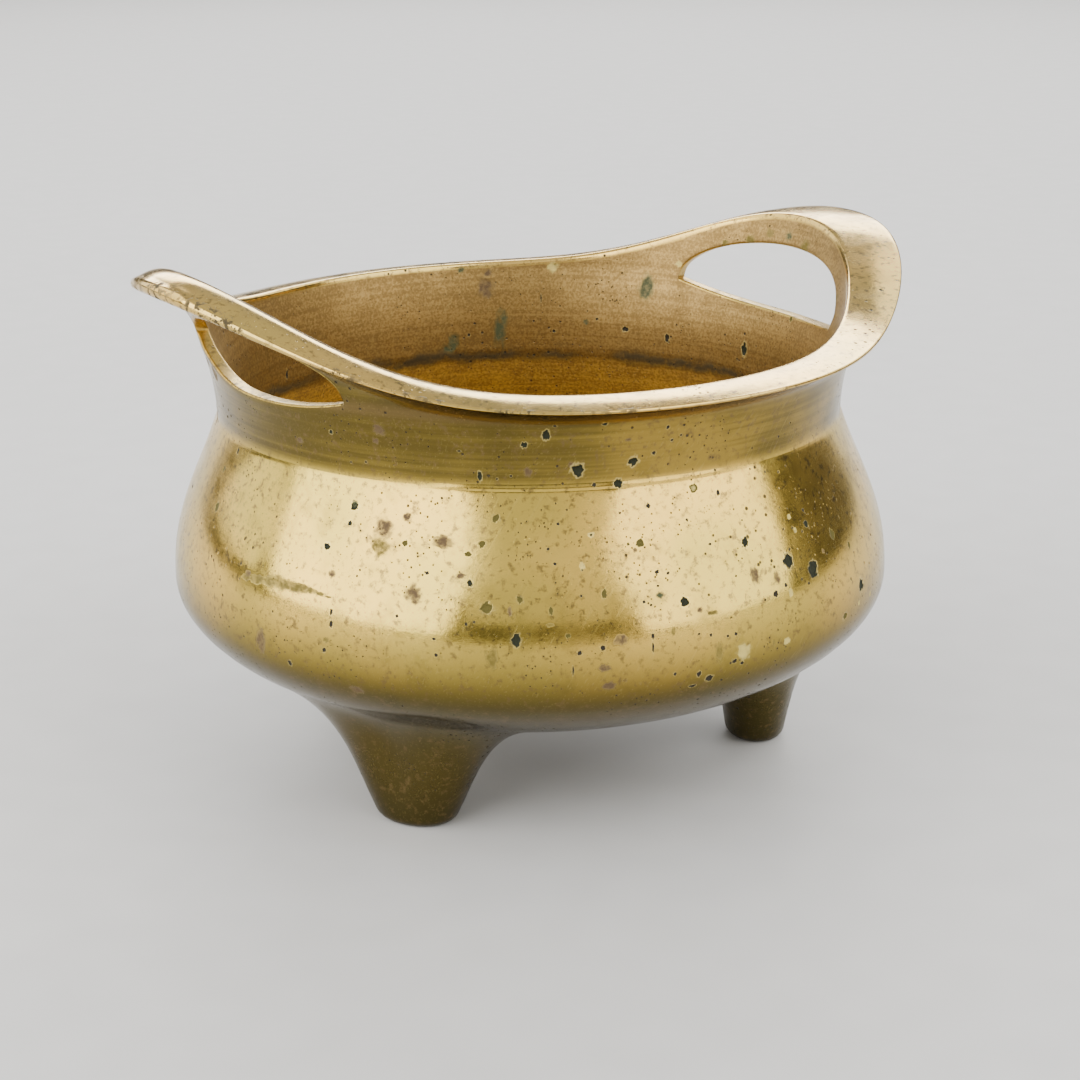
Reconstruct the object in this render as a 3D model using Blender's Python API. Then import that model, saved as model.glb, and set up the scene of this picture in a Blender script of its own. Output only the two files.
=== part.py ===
"""Cast brass incense burner: a low round bowl on three short feet, with two looped handles.

The whole burner is one casting. Its wall rises from a flattened underside through a full belly
to a narrow shoulder and a slightly spreading neck, and turns out into a thick flat lip. At +X and
-X the lip sweeps up and outward into a handle, and a gap for the fingers is pierced through the
neck below each one. The feet are solid and oval, and run smoothly into the underside.
Metres, +Z up, origin on the floor below the middle of the bowl.
"""

import math

import bmesh
import bpy

# Bowl
BELLY_RADIUS = 0.0750
BELLY_HEIGHT = 0.0411
UNDERSIDE_DEPTH = 0.0269
BELLY_FULLNESS = 0.0140
SHOULDER_INSET = 0.0103
SHOULDER_RISE = 0.0338
SHOULDER_RUN = 0.0127
SHOULDER_SLOPE = 0.33
INNER_SHOULDER_DROP = 0.0042
WALL = 0.0038
FLOOR = 0.0045

# Neck and lip
NECK_HEIGHT = 0.0159
NECK_SPREAD = 0.0029
LIP_OVERHANG = 0.0037
LIP_LEDGE = 0.0009
LIP_EDGE = 0.0009
LIP_SLOPE = 0.0011
LIP_CROWN = 0.0003
COVE_SHARPNESS = 11.0
COVE_SPACING = 1.7
EDGE_BULGE = 0.3

# Handles
HANDLE_RISE = 0.0162
HANDLE_REACH = 0.0131
HANDLE_TILT = 0.0014
HANDLE_WIDENING = 0.0051
HANDLE_EDGE = 0.0022
HANDLE_HALF_ANGLE = 32.5
SWELL_POWER = 2.15
LEFT_EXTRA_RISE = 0.0022
LEFT_EXTRA_EDGE = 0.0010
LEFT_EXTRA_CROWN = 0.0020
LEFT_SHORTER_REACH = 0.0024
RIGHT_HANDLE = 0.0
LEFT_HANDLE = 180.0

# Finger gaps below the handles
SILL_DROP = 0.0042
FRONT_END_DROP = 0.0027
BACK_END_DROP = 0.0011
POINTED_END_DROP = 0.0013
ROUND_END_RISE = 0.0031
BAR_DEPTH = 0.0069
SILL_POWER = 2.4
END_FADE = 4.0
RIGHT_GAP = (-26.0, 25.7)
LEFT_GAP = (162.0, 208.0)

# Feet
FOOT_RING_RADIUS = 0.0488
FOOT_ANGLES = (90.0, 210.0, 328.0)
FOOT_RADIAL = 0.0062
FOOT_TANGENTIAL = 0.0081
FOOT_FLARE_SIDE = 0.46
FOOT_FLARE_OUT = 0.12
FOOT_FLARE_IN = 0.16
SOLE_ROUNDING = 0.0018
FOOT_BLEND = 0.0100
FOOT_BLEND_END = 0.45
FOOT_BLEND_LIMIT = 0.9
FOOT_PATCH = 0.0230
FOOT_HALF_ANGLE = 30.0
PATCH_LIMIT = 0.985

# Fineness of the mesh
COLUMN_STEP = 5.2
GAP_COLUMNS = 12
UNDERSIDE_ROWS = 4
FOOT_ROWS = 5
FOOT_BLEND_RINGS = 4
SOLE_RINGS = 3
BELLY_TURN_ROWS = 3
BELLY_ROWS = 7
NECK_ROWS = 4
COVE_ROWS = 5
EDGE_ROWS = 2
LIP_ROWS = 3
INNER_LIP_ROWS = 3
INNER_BELLY_ROWS = 6
INNER_FLOOR_ROWS = 7
ROOT_TRIES = 8
ANGLE_TOLERANCE = 0.01

SHOULDER_RADIUS = BELLY_RADIUS - SHOULDER_INSET
SHOULDER_HEIGHT = BELLY_HEIGHT + SHOULDER_RISE
INNER_SHOULDER_HEIGHT = SHOULDER_HEIGHT - INNER_SHOULDER_DROP
LIP_HEIGHT = SHOULDER_HEIGHT + NECK_HEIGHT


def clear_scene():
    for thing in list(bpy.data.objects):
        bpy.data.objects.remove(thing, do_unlink=True)


def turn_between(angle, middle):
    """Signed angle in degrees from middle to angle, between -180 and 180."""
    return (angle - middle + 180.0) % 360.0 - 180.0


def swell(angle, middle):
    """How much of a handle there is at this angle: 1 on its middle line, 0 away from it."""
    share = abs(turn_between(angle, middle)) / HANDLE_HALF_ANGLE
    return math.exp(-share ** SWELL_POWER)


def bezier(points, share):
    """Point at a share of the way along a cubic curve in the (radius, height) plane."""
    rest = 1.0 - share
    weights = (rest ** 3, 3 * rest ** 2 * share, 3 * rest * share ** 2, share ** 3)
    radius = sum(weight * point[0] for weight, point in zip(weights, points))
    height = sum(weight * point[1] for weight, point in zip(weights, points))
    return radius, height


def belly_curve(inset, shoulder_height):
    """Curve from the belly's widest line up to the shoulder, moved inward by inset."""
    belly = (BELLY_RADIUS - inset, BELLY_HEIGHT)
    shoulder = (SHOULDER_RADIUS - inset, shoulder_height)
    upright = (belly[0], belly[1] + BELLY_FULLNESS)
    sloped = (shoulder[0] + SHOULDER_RUN * SHOULDER_SLOPE, shoulder[1] - SHOULDER_RUN)
    return belly, upright, sloped, shoulder


def underside_height(radius):
    """Height of the outer underside, a flattened half ellipse, at a distance from the axis."""
    share = min(radius / BELLY_RADIUS, 1.0)
    return BELLY_HEIGHT - UNDERSIDE_DEPTH * math.sqrt(1.0 - share * share)


def inner_floor_height(radius):
    """Height of the bowl's inner floor, the same form inside the wall."""
    share = min(radius / (BELLY_RADIUS - WALL), 1.0)
    return BELLY_HEIGHT - (UNDERSIDE_DEPTH - FLOOR) * math.sqrt(1.0 - share * share)


def neck_radius(height):
    """Outer radius of the neck, which spreads ever more up to the lip and evenly above it."""
    share = max(0.0, (height - SHOULDER_HEIGHT) / NECK_HEIGHT)
    if share < 1.0:
        return SHOULDER_RADIUS + NECK_SPREAD * share * share
    return SHOULDER_RADIUS + NECK_SPREAD * share


def lip_section(angle):
    """Edge, underside corner and inner crease of the lip at this angle, as (radius, height)."""
    right = swell(angle, RIGHT_HANDLE)
    left = swell(angle, LEFT_HANDLE)
    both = right + left
    edge = LIP_EDGE + (HANDLE_EDGE - LIP_EDGE) * both ** 2 + LEFT_EXTRA_EDGE * left ** 2
    top_height = LIP_HEIGHT + HANDLE_RISE * both + LEFT_EXTRA_RISE * left
    edge_radius = neck_radius(LIP_HEIGHT) + LIP_OVERHANG + HANDLE_REACH * both
    edge_radius -= LEFT_SHORTER_REACH * left
    inner = neck_radius(LIP_HEIGHT) - WALL - LIP_LEDGE
    crease_radius = inner + (HANDLE_REACH - HANDLE_WIDENING) * both
    crease_height = LIP_HEIGHT + LIP_SLOPE + (HANDLE_RISE - HANDLE_TILT) * both
    top = (edge_radius, top_height)
    below = (edge_radius, top_height - edge)
    crease = (crease_radius, crease_height)
    return top, below, crease


def outer_radius(angle, height):
    """Outer radius of the neck and of the cove below the lip."""
    below = lip_section(angle)[1]
    share = (height - SHOULDER_HEIGHT) / (below[1] - SHOULDER_HEIGHT)
    spread = below[0] - neck_radius(below[1])
    return neck_radius(height) + spread * share ** COVE_SHARPNESS


def inner_radius(angle, height):
    """Inner radius of the neck, up to the crease where the lip begins."""
    crease = lip_section(angle)[2]
    share = max(0.0, (height - SHOULDER_HEIGHT) / (crease[1] - SHOULDER_HEIGHT))
    spread = crease[0] - (neck_radius(crease[1]) - WALL)
    return neck_radius(height) - WALL + spread * share * share


def gap_ends():
    """Each finger gap as its start and end angles and the heights of its two corners."""
    front = LIP_HEIGHT - FRONT_END_DROP
    back = LIP_HEIGHT - BACK_END_DROP
    rounded = LIP_HEIGHT + ROUND_END_RISE
    pointed = LIP_HEIGHT - POINTED_END_DROP
    return (*RIGHT_GAP, front, back), (*LEFT_GAP, rounded, pointed)


def gap_at(angle):
    """Share of the way across a finger gap, -1 to 1, and the nearer corner's height, or None."""
    for start, end, start_height, end_height in gap_ends():
        share = turn_between(angle, (start + end) / 2) / ((end - start) / 2)
        if abs(share) < 1.0 - 1e-6:
            return share, start_height if share < 0 else end_height
    return None


def seam_heights(angle):
    """Heights of a finger gap's sill and arch. They are equal where there is no gap."""
    sill = LIP_HEIGHT - SILL_DROP
    gap = gap_at(angle)
    if gap:
        share, corner = gap
        top = LIP_HEIGHT + LIP_SLOPE + HANDLE_RISE - HANDLE_TILT - BAR_DEPTH
        arch = corner + (top - corner) * math.sqrt(1.0 - share * share)
        return sill + (corner - sill) * abs(share) ** SILL_POWER, arch
    height = sill
    for start, end, start_height, end_height in gap_ends():
        for corner_angle, corner in ((start, start_height), (end, end_height)):
            share = abs(turn_between(angle, corner_angle)) / HANDLE_HALF_ANGLE
            height += (corner - sill) * math.exp(-END_FADE * share * share)
    return height, height


def spread_evenly(start, end, count):
    """Values from start to end, end left out, in count even steps."""
    return [start + (end - start) * step / count for step in range(count)]


def column_angles():
    """Angles of the mesh's columns: even round the bowl, closer at the ends of each gap."""
    angles = []
    right_start, right_end = RIGHT_GAP
    left_start, left_end = LEFT_GAP
    for start, end, following in (
        (right_start, right_end, left_start),
        (left_start, left_end, right_start + 360.0),
    ):
        middle = (start + end) / 2
        half = (end - start) / 2
        for column in range(GAP_COLUMNS):
            angles.append(middle - half * math.cos(math.pi * column / GAP_COLUMNS))
        angles += spread_evenly(end, following, round((following - end) / COLUMN_STEP))
    return angles


def around(radius, angle, height):
    """Point at a radius, an angle in degrees and a height."""
    turn = math.radians(angle)
    return radius * math.cos(turn), radius * math.sin(turn), height


class Casting:
    """The burner's mesh, built as rows of points that run round the axis."""

    def __init__(self):
        self.mesh = bmesh.new()
        self.angles = column_angles()
        self.count = len(self.angles)

    def row(self, place):
        """A ring of points; place(angle) gives each one's radius and height."""
        ring = []
        for angle in self.angles:
            radius, height = place(angle)
            ring.append(self.mesh.verts.new(around(radius, angle, height)))
        return ring

    def face(self, *corners):
        """A face through the corners, each used once."""
        unlike = []
        for corner in corners:
            if corner not in unlike:
                unlike.append(corner)
        if len(unlike) > 2:
            self.mesh.faces.new(unlike)

    def strip(self, first, second, skip=lambda column: False):
        """Faces between two rows, except at the columns to skip."""
        for column in range(self.count):
            if skip(column):
                continue
            after = (column + 1) % self.count
            self.face(first[column], first[after], second[after], second[column])

    def close_middle(self, ring, height, upward):
        """A fan of faces from a ring to a point on the axis."""
        middle = self.mesh.verts.new((0.0, 0.0, height))
        for column in range(self.count):
            after = (column + 1) % self.count
            if upward:
                self.face(middle, ring[column], ring[after])
            else:
                self.face(middle, ring[after], ring[column])


def foot_columns(casting, foot):
    """Numbers of the columns that cross a foot's patch, in order."""
    inside = []
    for column, angle in enumerate(casting.angles):
        offset = turn_between(angle, foot)
        if abs(offset) < FOOT_HALF_ANGLE + ANGLE_TOLERANCE:
            inside.append((offset, column))
    return [column for offset, column in sorted(inside)]


def foot_outline_reach(direction):
    """Distance from a foot's middle to its oval edge, in a direction measured from outward."""
    along = math.cos(direction) / FOOT_RADIAL
    across = math.sin(direction) / FOOT_TANGENTIAL
    return 1.0 / math.hypot(along, across)


def foot_profile(reach, heading, outward):
    """A foot's side in one direction, as (distance from its middle, height) points."""
    along = heading[0] * outward[0] + heading[1] * outward[1]
    across = heading[1] * outward[0] - heading[0] * outward[1]
    flare = FOOT_FLARE_SIDE * across ** 2
    flare += (FOOT_FLARE_OUT if along > 0 else FOOT_FLARE_IN) * along ** 2
    sole = foot_outline_reach(math.atan2(across, along))

    def underside_at(distance):
        radius = math.hypot(FOOT_RING_RADIUS + along * distance, across * distance)
        return underside_height(radius)

    root_height = underside_at(0.0)
    for _ in range(ROOT_TRIES):
        root = sole + flare * root_height
        root_height = underside_at(root)
    start = min(root + FOOT_BLEND, root + (reach - root) * FOOT_BLEND_LIMIT)
    end_height = FOOT_BLEND_END * root_height
    curve = ((start, underside_at(start)), (root, root_height),
             (sole + flare * end_height, end_height))
    points = []
    for number in range(FOOT_BLEND_RINGS + 1):
        share = number / FOOT_BLEND_RINGS
        weights = ((1.0 - share) ** 2, 2 * share * (1.0 - share), share ** 2)
        points.append(tuple(sum(weight * point[axis] for weight, point in zip(weights, curve))
                            for axis in (0, 1)))
    for number in range(SOLE_RINGS + 1):
        turn = math.pi / 2 * number / SOLE_RINGS
        height = SOLE_ROUNDING * (1.0 - math.sin(turn))
        rounded = sole + flare * height - SOLE_ROUNDING * (1.0 - math.cos(turn))
        points.append((rounded, height))
    return points


def build_foot(casting, foot, rows):
    """Rings that run from the edge of a foot's patch in the underside down to its flat sole."""
    columns = foot_columns(casting, foot)
    inner = rows[0]
    outer = rows[-1]
    border = [outer[column] for column in columns]
    border += [row[columns[-1]] for row in reversed(rows[1:-1])]
    border += [inner[column] for column in reversed(columns)]
    border += [row[columns[0]] for row in rows[1:-1]]
    outward = around(1.0, foot, 0.0)[:2]
    middle = (FOOT_RING_RADIUS * outward[0], FOOT_RING_RADIUS * outward[1])
    spokes = []
    for vertex in border:
        away = (vertex.co.x - middle[0], vertex.co.y - middle[1])
        reach = math.hypot(*away)
        heading = (away[0] / reach, away[1] / reach)
        spokes.append([(middle[0] + heading[0] * distance, middle[1] + heading[1] * distance, height)
                       for distance, height in foot_profile(reach, heading, outward)])
    previous = border
    for places in zip(*spokes):
        ring = [casting.mesh.verts.new(place) for place in places]
        for index, vertex in enumerate(ring):
            after = (index + 1) % len(ring)
            casting.face(previous[after], previous[index], vertex, ring[after])
        previous = ring
    casting.face(*reversed(previous))


def build_underside(casting):
    """The outer underside, from the axis to the belly's widest line, with its three feet."""
    nearest = FOOT_RING_RADIUS - FOOT_PATCH
    furthest = min(FOOT_RING_RADIUS + FOOT_PATCH, PATCH_LIMIT * BELLY_RADIUS)
    radii = spread_evenly(nearest / UNDERSIDE_ROWS, nearest, UNDERSIDE_ROWS - 1)
    patch_start = len(radii)
    radii += spread_evenly(nearest, furthest, FOOT_ROWS) + [furthest]
    patch_end = len(radii) - 1
    rows = [casting.row(lambda angle, radius=radius: (radius, underside_height(radius)))
            for radius in radii]
    last_turn = math.acos(furthest / BELLY_RADIUS)
    for number in range(1, BELLY_TURN_ROWS + 1):
        radius = BELLY_RADIUS * math.cos(last_turn * (1.0 - number / BELLY_TURN_ROWS))
        rows.append(casting.row(lambda angle: (radius, underside_height(radius))))
    casting.close_middle(rows[0], underside_height(0.0), upward=False)
    patches = [foot_columns(casting, foot) for foot in FOOT_ANGLES]
    covered = {column for columns in patches for column in columns[:-1]}
    for number in range(len(rows) - 1):
        in_patch = patch_start <= number < patch_end
        casting.strip(rows[number], rows[number + 1],
                      lambda column: in_patch and column in covered)
    for foot in FOOT_ANGLES:
        build_foot(casting, foot, rows[patch_start:patch_end + 1])
    return rows[-1]


def build_outer_wall(casting, belly):
    """The belly, shoulder and neck outside, up to the sill of the finger gaps."""
    previous = belly
    outside = belly_curve(0.0, SHOULDER_HEIGHT)
    for number in range(1, BELLY_ROWS + 1):
        ring = casting.row(lambda angle: bezier(outside, number / BELLY_ROWS))
        casting.strip(previous, ring)
        previous = ring
    for number in range(1, NECK_ROWS + 1):
        def place(angle):
            sill = seam_heights(angle)[0]
            height = SHOULDER_HEIGHT + (sill - SHOULDER_HEIGHT) * number / NECK_ROWS
            return outer_radius(angle, height), height
        ring = casting.row(place)
        casting.strip(previous, ring)
        previous = ring
    return previous


def arch_row(casting, sill, radius_at):
    """The arch's points inside the gaps, and the sill's own points everywhere else."""
    ring = []
    for column, angle in enumerate(casting.angles):
        if gap_at(angle) is None:
            ring.append(sill[column])
        else:
            height = seam_heights(angle)[1]
            ring.append(casting.mesh.verts.new(around(radius_at(angle, height), angle, height)))
    return ring


def build_lip(casting, arch):
    """From the arch out through the cove, round the lip's edge and over its top to the crease."""
    previous = arch
    for number in range(1, COVE_ROWS + 1):
        def place(angle):
            arch_height = seam_heights(angle)[1]
            below = lip_section(angle)[1]
            share = 1.0 - (1.0 - number / COVE_ROWS) ** COVE_SPACING
            height = arch_height + (below[1] - arch_height) * share
            return outer_radius(angle, height), height
        ring = casting.row(place)
        casting.strip(previous, ring)
        previous = ring
    for number in range(1, EDGE_ROWS + 1):
        def place(angle):
            top, below, crease = lip_section(angle)
            share = number / EDGE_ROWS
            bulge = (top[1] - below[1]) * EDGE_BULGE * math.sin(math.pi * share)
            return top[0] + bulge, below[1] + (top[1] - below[1]) * share
        ring = casting.row(place)
        casting.strip(previous, ring)
        previous = ring
    for number in range(1, LIP_ROWS + 1):
        def place(angle):
            top, below, crease = lip_section(angle)
            share = number / LIP_ROWS
            left = swell(angle, LEFT_HANDLE)
            crown = (LIP_CROWN + LEFT_EXTRA_CROWN * left) * math.sin(math.pi * share)
            radius = top[0] + (crease[0] - top[0]) * share
            return radius, top[1] + (crease[1] - top[1]) * share + crown
        ring = casting.row(place)
        casting.strip(previous, ring)
        previous = ring
    return previous


def build_inner_wall(casting, crease):
    """From the crease down inside the neck and belly to the middle of the inner floor."""
    previous = crease
    for number in range(1, INNER_LIP_ROWS):
        def place(angle):
            top = lip_section(angle)[2][1]
            height = top + (seam_heights(angle)[1] - top) * number / INNER_LIP_ROWS
            return inner_radius(angle, height), height
        ring = casting.row(place)
        casting.strip(previous, ring)
        previous = ring

    def sill_place(angle):
        height = seam_heights(angle)[0]
        return inner_radius(angle, height), height

    sill = casting.row(sill_place)
    arch = arch_row(casting, sill, inner_radius)
    casting.strip(previous, arch)

    previous = sill
    for number in range(1, NECK_ROWS + 1):
        def place(angle):
            top = seam_heights(angle)[0]
            height = top + (INNER_SHOULDER_HEIGHT - top) * number / NECK_ROWS
            return inner_radius(angle, height), height
        ring = casting.row(place)
        casting.strip(previous, ring)
        previous = ring
    inside = belly_curve(WALL, INNER_SHOULDER_HEIGHT)
    for number in range(1, INNER_BELLY_ROWS + 1):
        share = 1.0 - number / INNER_BELLY_ROWS
        ring = casting.row(lambda angle: bezier(inside, share))
        casting.strip(previous, ring)
        previous = ring
    widest = BELLY_RADIUS - WALL
    for number in range(1, INNER_FLOOR_ROWS + 1):
        radius = widest * math.cos(math.pi / 2 * number / (INNER_FLOOR_ROWS + 1))
        ring = casting.row(lambda angle: (radius, inner_floor_height(radius)))
        casting.strip(previous, ring)
        previous = ring
    casting.close_middle(previous, inner_floor_height(0.0), upward=True)
    return sill, arch


def pierce_gaps(casting, outer_sill, outer_arch, inner_sill, inner_arch):
    """The sill and the ceiling of each finger gap, across the thickness of the wall."""
    def solid(column):
        after = (column + 1) % casting.count
        return gap_at(casting.angles[column]) is None and gap_at(casting.angles[after]) is None

    casting.strip(outer_sill, inner_sill, solid)
    casting.strip(inner_arch, outer_arch, solid)


def build_casting():
    """The whole burner as one closed mesh."""
    casting = Casting()
    belly = build_underside(casting)
    outer_sill = build_outer_wall(casting, belly)
    outer_arch = arch_row(casting, outer_sill, outer_radius)
    crease = build_lip(casting, outer_arch)
    inner_sill, inner_arch = build_inner_wall(casting, crease)
    pierce_gaps(casting, outer_sill, outer_arch, inner_sill, inner_arch)
    unused = [vertex for vertex in casting.mesh.verts if not vertex.link_faces]
    bmesh.ops.delete(casting.mesh, geom=unused, context="VERTS")
    return casting.mesh


def aged_brass():
    """Polished but aged brass, yellow with an olive cast."""
    material = bpy.data.materials.new("aged_brass")
    material.use_nodes = True
    shader = material.node_tree.nodes["Principled BSDF"]
    shader.inputs["Base Color"].default_value = (0.52, 0.39, 0.17, 1.0)
    shader.inputs["Metallic"].default_value = 1.0
    shader.inputs["Roughness"].default_value = 0.32
    return material


def main():
    clear_scene()
    shape = bpy.data.meshes.new("censer")
    casting = build_casting()
    casting.to_mesh(shape)
    casting.free()
    shape.shade_smooth()
    shape.set_sharp_from_angle(angle=math.radians(40.0))
    shape.materials.append(aged_brass())
    censer = bpy.data.objects.new("censer", shape)
    bpy.context.scene.collection.objects.link(censer)


main()
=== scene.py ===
"""Looks of the cast brass incense burner: its fine mesh, its aged finish with some painted shade and
reflections, the light and the camera.
"""

import math
import random

import bmesh
import bpy
from mathutils import Matrix, Vector, noise
from mathutils.bvhtree import BVHTree
from mathutils.kdtree import KDTree


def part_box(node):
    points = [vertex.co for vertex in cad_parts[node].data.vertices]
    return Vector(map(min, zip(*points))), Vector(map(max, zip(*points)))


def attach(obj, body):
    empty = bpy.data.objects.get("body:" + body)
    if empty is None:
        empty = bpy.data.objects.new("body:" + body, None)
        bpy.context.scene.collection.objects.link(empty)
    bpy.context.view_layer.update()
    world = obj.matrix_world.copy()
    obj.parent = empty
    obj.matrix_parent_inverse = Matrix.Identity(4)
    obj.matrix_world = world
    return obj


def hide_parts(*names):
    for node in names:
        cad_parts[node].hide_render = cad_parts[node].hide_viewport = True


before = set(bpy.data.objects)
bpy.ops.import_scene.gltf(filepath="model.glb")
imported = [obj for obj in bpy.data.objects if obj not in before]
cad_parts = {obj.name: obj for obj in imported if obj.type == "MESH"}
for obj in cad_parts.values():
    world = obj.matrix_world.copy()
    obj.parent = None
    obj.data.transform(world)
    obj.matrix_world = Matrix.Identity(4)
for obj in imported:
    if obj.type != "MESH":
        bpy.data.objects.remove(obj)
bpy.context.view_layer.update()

# Sizes in metres that the frame gives
lowest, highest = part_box("censer")
BELLY_RADIUS = (highest.y - lowest.y) / 2

# Bowl
BELLY_HEIGHT = 0.0411
UNDERSIDE_DEPTH = 0.0269
BELLY_FULLNESS = 0.0140
SHOULDER_INSET = 0.0103
SHOULDER_RISE = 0.0338
SHOULDER_RUN = 0.0127
SHOULDER_SLOPE = 0.33
INNER_SHOULDER_DROP = 0.0042
WALL = 0.0038
FLOOR = 0.0045

# Neck and lip
NECK_HEIGHT = 0.0159
NECK_SPREAD = 0.0029
LIP_OVERHANG = 0.0037
LIP_LEDGE = 0.0009
LIP_EDGE = 0.0009
LIP_SLOPE = 0.0011
LIP_CROWN = 0.0003
COVE_SHARPNESS = 11.0
COVE_SPACING = 1.7
EDGE_BULGE = 0.3
CREASE_ROUNDING = 0.0009

# Handles
HANDLE_RISE = 0.0162
HANDLE_REACH = 0.0131
HANDLE_TILT = 0.0014
HANDLE_WIDENING = 0.0051
HANDLE_EDGE = 0.0022
HANDLE_HALF_ANGLE = 32.5
SWELL_POWER = 2.15
LEFT_EXTRA_RISE = 0.0022
LEFT_EXTRA_EDGE = 0.0010
LEFT_EXTRA_CROWN = 0.0020
LEFT_SHORTER_REACH = 0.0024
RIGHT_HANDLE = 0.0
LEFT_HANDLE = 180.0

# Finger gaps below the handles
SILL_DROP = 0.0042
FRONT_END_DROP = 0.0027
BACK_END_DROP = 0.0011
POINTED_END_DROP = 0.0013
ROUND_END_RISE = 0.0031
BAR_DEPTH = 0.0069
SILL_POWER = 2.4
END_FADE = 4.0
RIGHT_GAP = (-26.0, 25.7)
LEFT_GAP = (162.0, 208.0)
GAP_ROUNDING = 0.0006

# Feet
FOOT_RING_RADIUS = 0.0488
FOOT_ANGLES = (90.0, 210.0, 328.0)
FOOT_RADIAL = 0.0062
FOOT_TANGENTIAL = 0.0081
FOOT_FLARE_SIDE = 0.46
FOOT_FLARE_OUT = 0.12
FOOT_FLARE_IN = 0.16
SOLE_ROUNDING = 0.0018
FOOT_BLEND = 0.0100
FOOT_BLEND_END = 0.45
FOOT_BLEND_LIMIT = 0.9
FOOT_PATCH = 0.0230
FOOT_HALF_ANGLE = 30.0
PATCH_LIMIT = 0.985

# Fine relief
SHOULDER_RIDGE = 0.00022
RIDGE_WEAR = 0.75
RIDGE_FRONT = -112.0
RIDGE_SPAN = 26.0
SHOULDER_RIDGE_WIDTH = 0.00045
RIDGE_REACH = 0.0014
RIDGE_START = 0.965
CASTING_WAVE = 0.00007
CASTING_WAVE_LENGTH = 0.016
LONG_WAVE_LENGTH = 0.0416

# Camera, as its place in metres, its turns in degrees and its focal length in the photograph's pixels
CAMERA_PLACE = Vector((-0.2410, -0.3903, 0.1930))
CAMERA_HEADING = -31.96
CAMERA_LEAN = 72.01
CAMERA_ROLL = -0.41
PHOTO_PIXELS = 1080
FOCAL_PIXELS = 2260.7
SENSOR_WIDTH = 36.0
CLIP_START = 0.01

# Parts of the casting that the finish tells apart
ZONES = ("inside", "lip", "foot", "rim")

# Marks on the casting. Each is its middle in the photograph's pixels, across and down, its radius
# in millimetres and how much taller it is than wide.
DEEP_PITS = (
    (355, 506, 0.9, 0.8), (350, 523, 0.45, 1.2), (327, 546, 0.7, 1.0), (524, 445, 0.6, 1.0),
    (546, 435, 0.75, 1.4), (578, 470, 1.25, 1.0), (633, 461, 0.95, 1.0), (618, 484, 0.9, 1.0),
    (516, 640, 0.9, 1.4), (470, 583, 0.5, 1.5), (788, 561, 1.2, 1.2), (813, 569, 1.4, 1.2),
    (806, 524, 0.7, 1.2), (685, 602, 0.8, 1.2), (745, 542, 0.7, 1.5), (744, 350, 0.8, 2.0),
    (331, 432, 0.45, 1.0), (605, 424, 0.5, 0.8), (480, 476, 0.4, 2.4), (861, 585, 1.1, 1.3),
)
SMALL_PITS = (
    (397, 616, 0.3, 1.0), (427, 573, 0.35, 1.0), (331, 612, 0.35, 2.0), (331, 624, 0.4, 1.8),
    (360, 570, 0.22, 1.0), (357, 576, 0.22, 1.0), (273, 611, 0.3, 1.2), (238, 451, 0.4, 1.8),
    (351, 462, 0.22, 1.0), (366, 462, 0.25, 1.0), (497, 479, 0.25, 1.0), (511, 476, 0.25, 1.0),
    (459, 451, 0.35, 0.6), (442, 498, 0.25, 1.0), (449, 498, 0.2, 1.0), (594, 485, 0.4, 1.0),
    (668, 427, 0.35, 1.2), (681, 435, 0.25, 1.0), (672, 440, 0.3, 1.0), (555, 426, 0.35, 0.8),
    (654, 453, 0.4, 1.0), (648, 506, 0.45, 1.2), (620, 513, 0.25, 1.0), (558, 524, 0.3, 1.0),
    (548, 549, 0.3, 1.0), (555, 564, 0.3, 1.0), (582, 570, 0.25, 1.0), (591, 535, 0.25, 1.0),
    (687, 520, 0.3, 1.0), (742, 520, 0.22, 1.0), (710, 544, 0.3, 1.0), (803, 510, 0.35, 1.2),
    (802, 579, 0.3, 1.0), (809, 583, 0.3, 1.0), (786, 585, 0.35, 1.2), (776, 594, 0.6, 1.0),
    (736, 576, 0.22, 1.0), (851, 579, 0.3, 1.4), (658, 586, 0.25, 1.0), (657, 572, 0.45, 0.8),
    (668, 573, 0.35, 0.8), (644, 602, 0.3, 1.0), (651, 605, 0.25, 1.0), (581, 596, 0.25, 1.0),
    (603, 648, 0.5, 1.0), (580, 653, 0.45, 1.0), (699, 634, 0.25, 1.0), (711, 635, 0.3, 1.2),
    (728, 636, 0.3, 1.0), (736, 634, 0.35, 1.0), (735, 661, 0.7, 0.6), (742, 663, 0.4, 0.8),
    (675, 674, 0.3, 1.2), (699, 674, 0.5, 1.2), (709, 678, 0.8, 0.9), (692, 686, 0.7, 0.5),
    (750, 469, 0.22, 1.0), (765, 472, 0.25, 1.0), (718, 493, 0.4, 1.6), (715, 470, 0.25, 1.0),
    (466, 624, 0.3, 1.2), (474, 622, 0.25, 1.0), (434, 639, 0.35, 0.8), (436, 655, 0.35, 1.0),
    (290, 663, 0.5, 1.2), (324, 650, 0.5, 0.9), (653, 636, 0.3, 2.2), (653, 647, 0.22, 5.0),
    (573, 671, 0.18, 5.0), (541, 298, 0.18, 8.0), (287, 374, 0.45, 2.5), (625, 329, 0.8, 0.8),
    (667, 338, 0.6, 1.5), (554, 331, 0.35, 1.2), (737, 359, 0.25, 1.0), (871, 310, 0.4, 0.8),
    (866, 301, 0.3, 0.8), (881, 290, 0.5, 0.8), (597, 319, 0.35, 1.0), (469, 335, 0.4, 1.0),
)
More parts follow.
